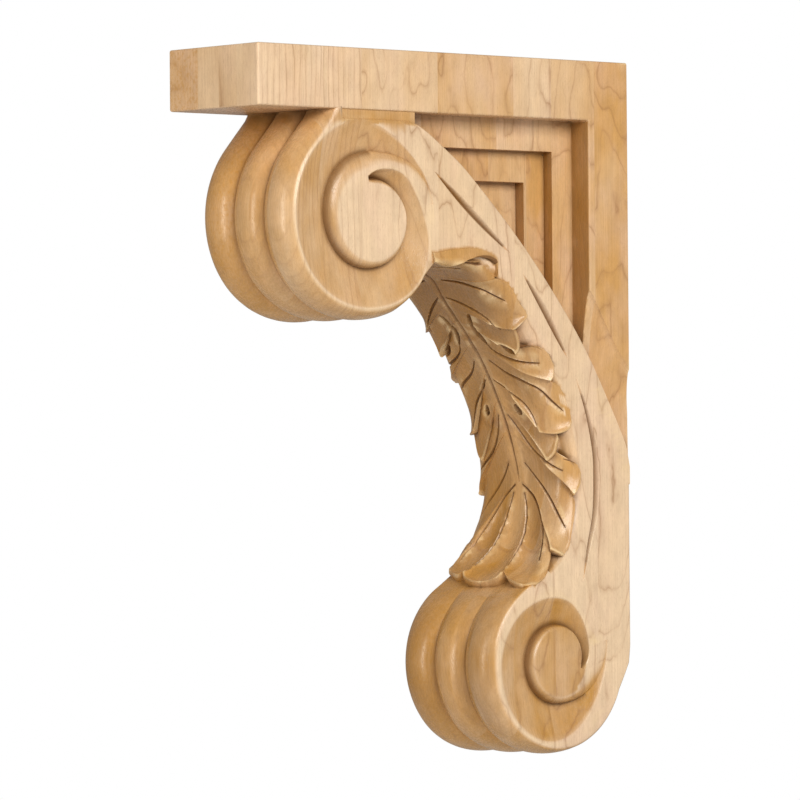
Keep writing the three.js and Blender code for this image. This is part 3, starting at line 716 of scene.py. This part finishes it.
class Nodes:  # short names for adding to a node tree
    def __init__(self, tree):
        self.tree = tree

    def add(self, kind, values, out=0, **settings):
        made = self.tree.nodes.new(kind)
        for key, value in settings.items():
            setattr(made, key, value)
        for key, value in values.items():
            if isinstance(value, bpy.types.NodeSocket):
                self.tree.links.new(value, made.inputs[key])
            else:
                made.inputs[key].default_value = value
        return made.outputs[out]

    def maths(self, how, a, b=0.0, c=0.0):
        return self.add("ShaderNodeMath", {0: a, 1: b, 2: c}, operation=how)

    def times(self, a, b):
        return self.maths("MULTIPLY", a, b)

    def plus(self, a, b):
        return self.maths("ADD", a, b)

    def ramp(self, value, stops, how="LINEAR"):
        made = self.tree.nodes.new("ShaderNodeValToRGB")
        made.color_ramp.interpolation = how
        while len(made.color_ramp.elements) < len(stops):
            made.color_ramp.elements.new(0.5)
        for element, (place, grey) in zip(made.color_ramp.elements, sorted(stops)):
            element.position = place
            element.color = (grey, grey, grey, 1)
        self.tree.links.new(value, made.inputs[0])
        return made.outputs[0]

    def mix(self, factor, a, b, how="MIX"):
        return self.add("ShaderNodeMix", {0: factor, 6: a, 7: b}, 2, data_type="RGBA", blend_type=how)

    def place(self, parts, scales, shift):  # a stretched copy of the place, shifted from board to board
        stretched = [self.maths("MULTIPLY_ADD", part, scale, self.times(shift, 9.0 + 4 * k))
                     for k, (part, scale) in enumerate(zip(parts, scales))]
        return self.add("ShaderNodeCombineXYZ", {0: stretched[0], 1: stretched[1], 2: stretched[2]})

    def noise(self, vector, detail=2.0, rough=0.5, twist=0.0):
        return self.add("ShaderNodeTexNoise", {"Vector": vector, "Scale": 1.0, "Detail": detail,
                                               "Roughness": rough, "Distortion": twist})

    def attribute(self, name):
        return self.add("ShaderNodeAttribute", {}, 2, attribute_name=name)


def boardRamp(seams, start, length, tones):  # one grey for each board between the glue lines
    places = [0.0] + [(seam - start) / length for seam in seams]
    return list(zip(places, tones))


def woodMaterial():
    made = bpy.data.materials.new("maple")
    made.use_nodes = True
    nodes, links = made.node_tree.nodes, made.node_tree.links
    shader, split = nodes["Principled BSDF"], nodes.new("ShaderNodeSeparateXYZ")
    n = Nodes(made.node_tree)
    links.new(n.add("ShaderNodeTexCoord", {}, 3), split.inputs[0])
    parts = x, y, z = [n.times(split.outputs[k], 1000.0) for k in range(3)]
    front, wide = block["projection"], block["width"]
    acrossY = n.maths("DIVIDE", n.plus(y, front), front)
    acrossX = n.maths("DIVIDE", n.plus(x, wide / 2), wide)
    foot, tall = 189.0, 328.0  # the corbel's lower end under the origin, and its height
    upwards = n.maths("DIVIDE", n.plus(z, foot), tall)
    seamsY, seamsX = maple["seamsY"], maple["seamsX"]

    def boardsY(*tones):
        return n.ramp(acrossY, boardRamp(seamsY, -front, front, tones), "CONSTANT")

    def boardsX(*tones):
        return n.ramp(acrossX, boardRamp(seamsX, -wide / 2, wide, tones), "CONSTANT")

    toneY = boardsY(0.62, 0.86, 0.38, 0.55, 0.74, 0.30, 0.46)
    toneX = boardsX(1.20, 0.90, 0.80, 0.52)
    quarter = boardsY(1.0, 1.0, 0.0, 0.0, 0.0, 0.0, 0.0)
    board = n.maths("FRACT", n.plus(n.times(toneY, 7.3), n.times(toneX, 3.1)))

    def grain(scales, detail, rough, twist=0.0):  # noise stretched along the boards, other in each board
        return n.noise(n.place(parts, scales, board), detail, rough, twist)

    # growth lines: wandering cathedrals on the flat-sawn boards, straight and close on the others
    drift = grain((0.010, 0.026, 0.011), 2.0, 0.52, 0.3)
    wobble = grain((0.09, 0.16, 0.07), 2.0, 0.6)
    flat = n.plus(x, n.times(drift, 46.0))
    flat = n.plus(flat, n.plus(n.times(z, 0.05), n.times(wobble, 2.6)))
    straight = n.plus(n.times(y, 1.6), n.times(drift, 30.0))
    rings = n.add("ShaderNodeMix", {0: quarter, 2: flat, 3: straight}, 0)
    ring = n.maths("FRACT", n.maths("DIVIDE", rings, maple["ringPitch"]))
    line = n.ramp(ring, [(0.0, 0.95), (0.035, 0.55), (0.13, 0.16), (0.5, 0.02), (0.88, 0.05), (0.975, 0.45),
                         (1.0, 0.95)])
    patchy = n.ramp(grain((0.03, 0.05, 0.02), 3.0, 0.6), [(0.34, 0.22), (0.60, 1.0)])
    calmer = n.maths("MULTIPLY_ADD", n.attribute("calm"), -0.5 * maple["lineStrength"], maple["lineStrength"])
    line = n.times(n.times(line, patchy), calmer)
    # streaks and flecks along the boards
    streak = grain((0.9, 0.9, 0.028), 4.0, 0.62)
    fleck = n.ramp(grain((2.6, 2.6, 0.55), 2.0, 0.55), [(0.33, 1.0), (0.44, 0.0)])
    cloud = grain((0.020, 0.030, 0.012), 3.0, 0.55)
    mottle = grain((0.16, 0.16, 0.10), 3.0, 0.6)
    # how far each board and place has ripened from pale to honey
    ripe = n.times(boardsY(0.08, 0.16, 0.34, 0.62, 0.40, 0.62, 0.92),
                   n.ramp(upwards, [(0.36, 0.22), (0.62, 1.0)]))
    ripe = n.plus(ripe, n.times(n.maths("SUBTRACT", toneX, 0.52), 0.8))
    tone = n.plus(ripe, n.times(n.maths("SUBTRACT", cloud, 0.5), 1.3))
    tone = n.times(tone, n.maths("MULTIPLY_ADD", n.attribute("pale"), -0.8, 1.0))
    colour = n.mix(n.add("ShaderNodeClamp", {0: tone, 1: 0.0, 2: 1.0}), maple["pale"], maple["honey"])
    colour = n.mix(n.ramp(grain((0.035, 0.045, 0.022), 3.0, 0.6), [(0.45, 0.0), (0.74, 0.45)]), colour, maple["pink"])
    # the amber tone lies in patches on the carved parts; the same mask also carries painted shade on the web's front
    # walls and under the cap
    patches = n.maths("MULTIPLY_ADD", grain((0.045, 0.045, 0.030), 3.0, 0.6), 1.3, 0.10)
    colour = n.mix(n.times(n.attribute("amberAndShade"), patches), colour, maple["amberAndShade"])
    colour = n.mix(1.0, colour, n.ramp(streak, [(0.30, 0.93), (0.70, 1.04)]), "MULTIPLY")
    colour = n.mix(1.0, colour, n.ramp(mottle, [(0.30, 0.92), (0.70, 1.05)]), "MULTIPLY")
    colour = n.mix(n.times(fleck, maple["fleckStrength"]), colour, maple["line"])
    colour = n.mix(line, colour, maple["line"])
    specks = n.ramp(grain((0.75, 0.75, 0.62), 2.0, 0.7), [(0.50, 0.0), (0.60, 0.42)])
    colour = n.mix(n.times(specks, boardsX(1.0, 0.0, 0.0, 0.0)), colour, maple["amberAndShade"])
    glue = [(0.0, 0.0)]
    for seam in seamsY:
        for off, grey in ((maple["seamWidth"], 0.0), (0.0, maple["seamStrength"]), (-maple["seamWidth"], 0.0)):
            glue.append(((seam + front - off) / front, grey))
    colour = n.mix(n.ramp(acrossY, glue), colour, maple["line"])
    # painted shade: darker where short rays meet wood, and along the groove shade mask
    creviceShade = n.attribute("creviceShade")
    colour = n.mix(n.times(creviceShade, maple["creviceShadeStrength"]), colour, maple["creviceShade"])
    colour = n.mix(n.times(n.attribute("grooveShade"), maple["grooveShadeStrength"]), colour, maple["creviceShade"])
    # painted highlight on standing rims and crests, partly edge wear
    colour = n.mix(n.times(n.attribute("wearAndHighlight"), maple["wearAndHighlightStrength"]), colour, maple["wearAndHighlight"])
    links.new(colour, shader.inputs["Base Color"])
    rough = n.plus(n.times(streak, 0.16), maple["roughness"] - 0.10)
    rough = n.plus(rough, n.times(creviceShade, 0.22))
    links.new(n.plus(rough, n.times(line, 0.10)), shader.inputs["Roughness"])
    height = n.maths("SUBTRACT", n.times(streak, 0.2), n.times(fleck, 0.25))
    height = n.plus(height, n.times(mottle, 0.9))
    height = n.maths("SUBTRACT", height, n.times(line, 0.3))
    bump = n.add("ShaderNodeBump", {"Strength": maple["bumpStrength"], "Distance": maple["bumpDepth"] / 1000,
                                    "Height": height}, 0)
    links.new(bump, shader.inputs["Normal"])
    return made


# settings for the colour masks: wood tone, painted shade in crevices and cuts, painted highlights on rims
maskSettings = {  # edge lengths and reaches in metres, fades in mm
    "longestEdge": 0.007, "besideLeaf": 0.0011, "longestBeside": 0.0018,
    "reach": 0.014, "rays": 14, "quickRays": 6,
    "leafEdge": (0.5, 1.3), "grooveEdge": (0.3, 1.5), "search": 4,
    "underVolute": (118, 175),  # how far down the shade under the upper volute fades
    "voluteEdge": (1.14, 1.3), "eye": 0.40,  # shares of the volute's radius
    "bowlOut": 1.5, "bowlIn": 3.2, "ridgeWidth": 0.7, "neckShade": 6,
    "leafAmber": 0.8, "upperAmber": 0.72, "lowerAmber": 0.9, "wallShadeAmber": 0.9,
    "bowlShade": 0.85, "wallShadeDark": 0.35, "underVoluteShade": 0.58, "ridgeHighlight": 0.3, "leafCalm": 0.5,
}


def treeOf(points):
    tree = KDTree(len(points))
    for i, point in enumerate(points):
        tree.insert(point, i)
    tree.balance()
    return tree


def evenOut(piece, beside):  # split long edges so that the masks have points to sit on
    work = bmesh.new()
    work.from_mesh(piece.data)
    bmesh.ops.triangulate(work, faces=work.faces)

    def split(edges):
        bmesh.ops.subdivide_edges(work, edges=edges, cuts=1)
        bmesh.ops.triangulate(work, faces=[f for f in work.faces if len(f.verts) > 3])

    for _ in range(6):
        edges = [e for e in work.edges if e.calc_length() > maskSettings["longestEdge"]]
        if not edges:
            break
        split(edges)
    tree = treeOf(beside)
    for _ in range(2):  # shorter ones beside the leaf, where its amber tone and painted shade end
        close = {v: tree.find(v.co)[2] < maskSettings["besideLeaf"] for v in work.verts}
        split([e for e in work.edges
               if e.calc_length() > maskSettings["longestBeside"] and close[e.verts[0]] != close[e.verts[1]]])
    work.to_mesh(piece.data)
    work.free()


def sphereRays(count):  # even spread over a hemisphere round +Z, more of them upright
    k = np.arange(count) + 0.5
    around = np.pi * (1 + 5 ** 0.5) * k
    height = np.sqrt(1 - k / count * 0.96)
    flat = np.sqrt(1 - height ** 2)
    return np.stack([flat * np.cos(around), flat * np.sin(around), height], -1)


def readAll(data, name, per, kind=float):
    values = np.empty(len(data) * per, kind)
    data.foreach_get(name, values)
    return values.reshape(-1, per)


def shadeAndHighlightMasks(piece, reach, count):  # how much short rays meet wood, for painted shade in crevices, and how far each place stands out, for painted highlights on rims
    mesh = piece.data
    total = len(mesh.vertices)
    places, normals = readAll(mesh.vertices, "co", 3), readAll(mesh.vertices, "normal", 3)
    tree = BVHTree.FromPolygons(places.tolist(), [list(p.vertices) for p in mesh.polygons])
    helper = np.where(np.abs(normals[:, 2:3]) > 0.9, [[1.0, 0, 0]], [[0, 0, 1.0]])
    side = np.cross(normals, helper)
    side /= np.linalg.norm(side, axis=1, keepdims=True) + 1e-12
    other = np.cross(normals, side)
    hidden = np.zeros(total)
    starts = places + normals * 0.0002
    for ray in sphereRays(count):
        aim = side * ray[0] + other * ray[1] + normals * ray[2]
        for i in range(total):
            hit = tree.ray_cast(starts[i], aim[i], reach)
            if hit[0] is not None:
                hidden[i] += 1 - hit[3] / reach
    hidden /= count
    edges = readAll(mesh.edges, "vertices", 2, int)
    span = places[edges[:, 1]] - places[edges[:, 0]]
    length = np.linalg.norm(span, axis=1) + 1e-9
    bend = np.einsum("ij,ij->i", normals[edges[:, 1]] - normals[edges[:, 0]], span) / length
    weight = np.minimum(length, 0.002)
    sums, weights = np.zeros(total), np.zeros(total)
    for column in (0, 1):
        np.add.at(sums, edges[:, column], bend * weight)
        np.add.at(weights, edges[:, column], weight)
    out = sums / np.maximum(weights, 1e-9)
    for values in (hidden, out):  # one round of blurring along the edges
        blurred, counts = values.copy(), np.ones(total)
        for here, there in ((0, 1), (1, 0)):
            np.add.at(blurred, edges[:, here], values[edges[:, there]])
            np.add.at(counts, edges[:, here], 1)
        values[:] = blurred / counts
    return places, normals, hidden, out


def keep(piece, name, values):
    made = piece.data.attributes.new(name, "FLOAT", "POINT")
    made.data.foreach_set("value", np.clip(values, 0, 1).astype(np.float32))


evenOut(corbel, leafPlaces)
rayCount = maskSettings["rays"]
places, normals, hidden, out = shadeAndHighlightMasks(corbel, maskSettings["reach"], rayCount)
mm = places * 1000
ownY, ownDown = mm[:, 1], topHeight - mm[:, 2]
depth = halfWidth - np.abs(mm[:, 0])  # how far in from the side faces


def nearest(points):  # distance in mm from each vertex to the nearest of the points
    tree = treeOf(points)
    return np.array([min(tree.find(p)[2], maskSettings["search"]) for p in mm])


onLeaf = 1 - smoothStep(nearest([tuple(np.array(p) * 1000) for p in leafPlaces]), *maskSettings["leafEdge"])
grooveShade = 1 - smoothStep(nearest(grooveBottoms), *maskSettings["grooveEdge"])
amberAndShade, creaseShade, ridges = onLeaf * maskSettings["leafAmber"], np.zeros(len(mm)), np.zeros(len(mm))
# painted shadow of the upper volute on the top of the leaf, fading downwards
underVolute = onLeaf * (1 - smoothStep(ownDown, *maskSettings["underVolute"])) * smoothStep(depth, -1, 3)
for turn, strength in ((upperTurn, maskSettings["upperAmber"]), (lowerTurn, maskSettings["lowerAmber"])):
    y, down = ownY - turn["eye"][0], ownDown - turn["eye"][1]
    radius = np.hypot(y, down) / turn["radius"]
    amberAndShade = np.maximum(amberAndShade, (1 - smoothStep(radius, *maskSettings["voluteEdge"])) * smoothStep(depth, 0.02, 0.7) * strength)
    if not turn["upper"]:
        amberAndShade = np.maximum(amberAndShade, (radius < maskSettings["eye"]) * maskSettings["leafAmber"])
    angle = np.degrees(np.arctan2(-y, -down) if turn["upper"] else np.arctan2(down, y)) % 360
    for lap in (0, 360):
        on = (angle + lap >= turn["start"] + 60) & (angle + lap <= turn["end"])
        # painted shade along the crease of each volute's channel
        off = (radius - turn["crease"](angle + lap)) * turn["radius"]
        near = np.exp(-(off / np.where(off > 0, maskSettings["bowlOut"], maskSettings["bowlIn"])) ** 2)
        creaseShade = np.maximum(creaseShade, near * on * smoothStep(depth, 0.5, 2.5) * (depth < 7))
        # painted highlight along each channel's crest
        off = (radius - turn["crest"](angle + lap)) * turn["radius"]
        ridges = np.maximum(ridges, np.exp(-(off / maskSettings["ridgeWidth"]) ** 2) * on * (depth < 3))
underCap = ownDown - capBottom
inWeb = (underCap > 0.5) & (ownY > upperEye[0]) & (ownY < -block["legDepth"] + 1) & (depth > 0.5) & (depth < 26)
# painted shade on the web's walls that face the front, away from the key light
frontWallShade = inWeb * smoothStep(-normals[:, 1], 0.5, 0.9)
# painted shade on the narrow strip under the cap
underCapShade = (underCap > 0) & (underCap < maskSettings["neckShade"]) & (ownY < upperEye[0] + 0.6 * upperR)
amberAndShade = np.maximum.reduce([amberAndShade, frontWallShade * maskSettings["wallShadeAmber"], underCapShade * maskSettings["leafAmber"]])
edgeAt = np.interp(ownDown, backEdge.path[::-1, 1], backEdge.path[::-1, 0])
beforeEdge = (ownY < edgeAt + 0.5) | (ownDown > backEdge.path[0, 1])
scrollSide = (depth < 0.4) & (underCap > maskSettings["neckShade"]) & beforeEdge
facing = smoothStep(-normals[:, 1], 0.2, 0.7) * (depth > 0.5) * (underCap > 1)
# amber tone of the carved parts, with painted shade on the front walls and under the cap
keep(corbel, "amberAndShade", amberAndShade)
keep(corbel, "pale", scrollSide * (1 - onLeaf))
keep(corbel, "calm", np.maximum(onLeaf * maskSettings["leafCalm"], facing))
# painted shade in the cut bottoms, along the volutes' creases, on the web's front walls and under the upper volute
keep(corbel, "grooveShade", np.maximum.reduce([grooveShade, creaseShade * maskSettings["bowlShade"], frontWallShade * maskSettings["wallShadeDark"],
                                          underVolute * maskSettings["underVoluteShade"]]))
# painted shade, darker where short rays from a place meet wood nearby
keep(corbel, "creviceShade", smoothStep(hidden, 0.14, 0.60))
# painted highlight on rims that stand out and are not hidden, partly edge wear, with the painted crest highlight
standing = smoothStep(out, 0.10, 0.42) * (1 - smoothStep(hidden, 0.2, 0.5))
keep(corbel, "wearAndHighlight", np.maximum(standing, ridges * maskSettings["ridgeHighlight"]))
pick(corbel)
bpy.ops.object.shade_smooth_by_angle(angle=math.radians(32))
applyModifier(corbel, "WEIGHTED_NORMAL", keep_sharp=True, weight=80)
print("corbel triangles", len(corbel.data.polygons))
corbel.data.materials.clear()
corbel.data.materials.append(woodMaterial())

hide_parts("corbel_bracket")
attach(corbel, "root")
print("wood done")

studio = {
    "floorHeight": -0.6, "paper": (0.9, 0.9, 0.9, 1),
    "surround": 0.25,  # strength of the white room on the wood; the backdrop itself stays white
    "aim": (0, -0.1, 0),
    "key": {"place": (2.3, -0.7, 1.1), "size": (1.3, 1.3), "power": 56, "tint": (1, 0.975, 0.93)},
    "strip": {"place": (-0.25, -2.3, 0.15), "size": (0.15, 1.4), "power": 17, "tint": (1, 0.92, 0.79)},
    "camera": {"place": (1.9660, -1.8417, -0.0553), "lens": 251.64, "sensor": 36,
               "turn": (90.73402927420109, 0.4593395064717605, 48.754218144631174)},
}
bpy.ops.object.select_all(action="DESELECT")
bpy.ops.mesh.primitive_plane_add(size=4, location=(0, 0, studio["floorHeight"]))
floor = bpy.context.object
floor.name = "floor"
paper = bpy.data.materials.new("paper")
paper.use_nodes = True
paper.node_tree.nodes["Principled BSDF"].inputs["Base Color"].default_value = studio["paper"]
floor.data.materials.append(paper)

world = bpy.data.worlds.new("studio")
bpy.context.scene.world = world
world.use_nodes = True
w = Nodes(world.node_tree)
seen = w.add("ShaderNodeLightPath", {}, 0)
background = world.node_tree.nodes["Background"]
background.inputs["Color"].default_value = (1, 1, 1, 1)
strength = w.plus(w.times(seen, 1 - studio["surround"]), studio["surround"])
world.node_tree.links.new(strength, background.inputs["Strength"])
bpy.context.scene.view_settings.view_transform = "Standard"

for name in ("key", "strip"):
    sizes = studio[name]
    lamp = bpy.data.objects.new(name, bpy.data.lights.new(name, "AREA"))
    bpy.context.collection.objects.link(lamp)
    lamp.data.shape = "RECTANGLE"
    lamp.data.size, lamp.data.size_y = sizes["size"]
    lamp.data.energy = sizes["power"]
    lamp.data.color = sizes["tint"]
    lamp.location = sizes["place"]
    lamp.rotation_euler = (Vector(studio["aim"]) - Vector(sizes["place"])).to_track_quat("-Z", "Y").to_euler()

camera = bpy.data.objects.new("camera", bpy.data.cameras.new("camera"))
bpy.context.collection.objects.link(camera)
camera.location = studio["camera"]["place"]
camera.rotation_euler = [math.radians(a) for a in studio["camera"]["turn"]]
camera.data.lens = studio["camera"]["lens"]
camera.data.sensor_width = studio["camera"]["sensor"]
camera.data.clip_end = 50
bpy.context.scene.camera = camera
